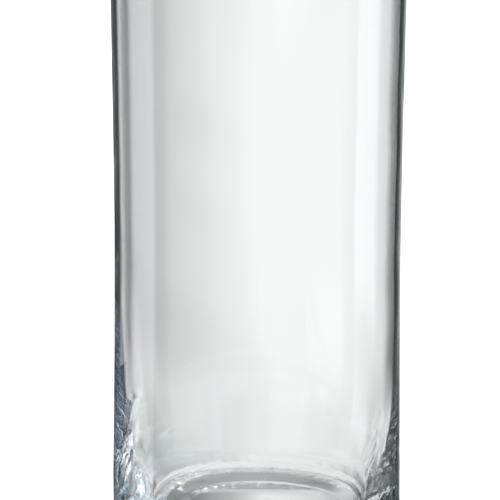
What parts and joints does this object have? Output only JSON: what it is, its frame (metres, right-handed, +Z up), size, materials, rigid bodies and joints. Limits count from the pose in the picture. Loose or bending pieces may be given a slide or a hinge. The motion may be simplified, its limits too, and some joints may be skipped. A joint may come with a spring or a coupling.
{
  "type": "glass cylinder vase",
  "caption": "Clear round glass vase with near-straight thin walls, an open top, a heavy base and a flat ring that it stands on.",
  "frame": {"origin": "centre of the foot, at the height of the surface that the vase stands on", "axes": "+Z up the axis of the vase towards its open rim; X and Y are alike, because the vase is round"},
  "size_m": [0.1016, 0.1016, 0.25],
  "materials": {
    "glass": "clear blown soda-lime glass, fire-polished, with a faint grey-green tint in thick places"
  },
  "bodies": {
    "root": {"vase": "glass"}
  },
  "joints": []
}
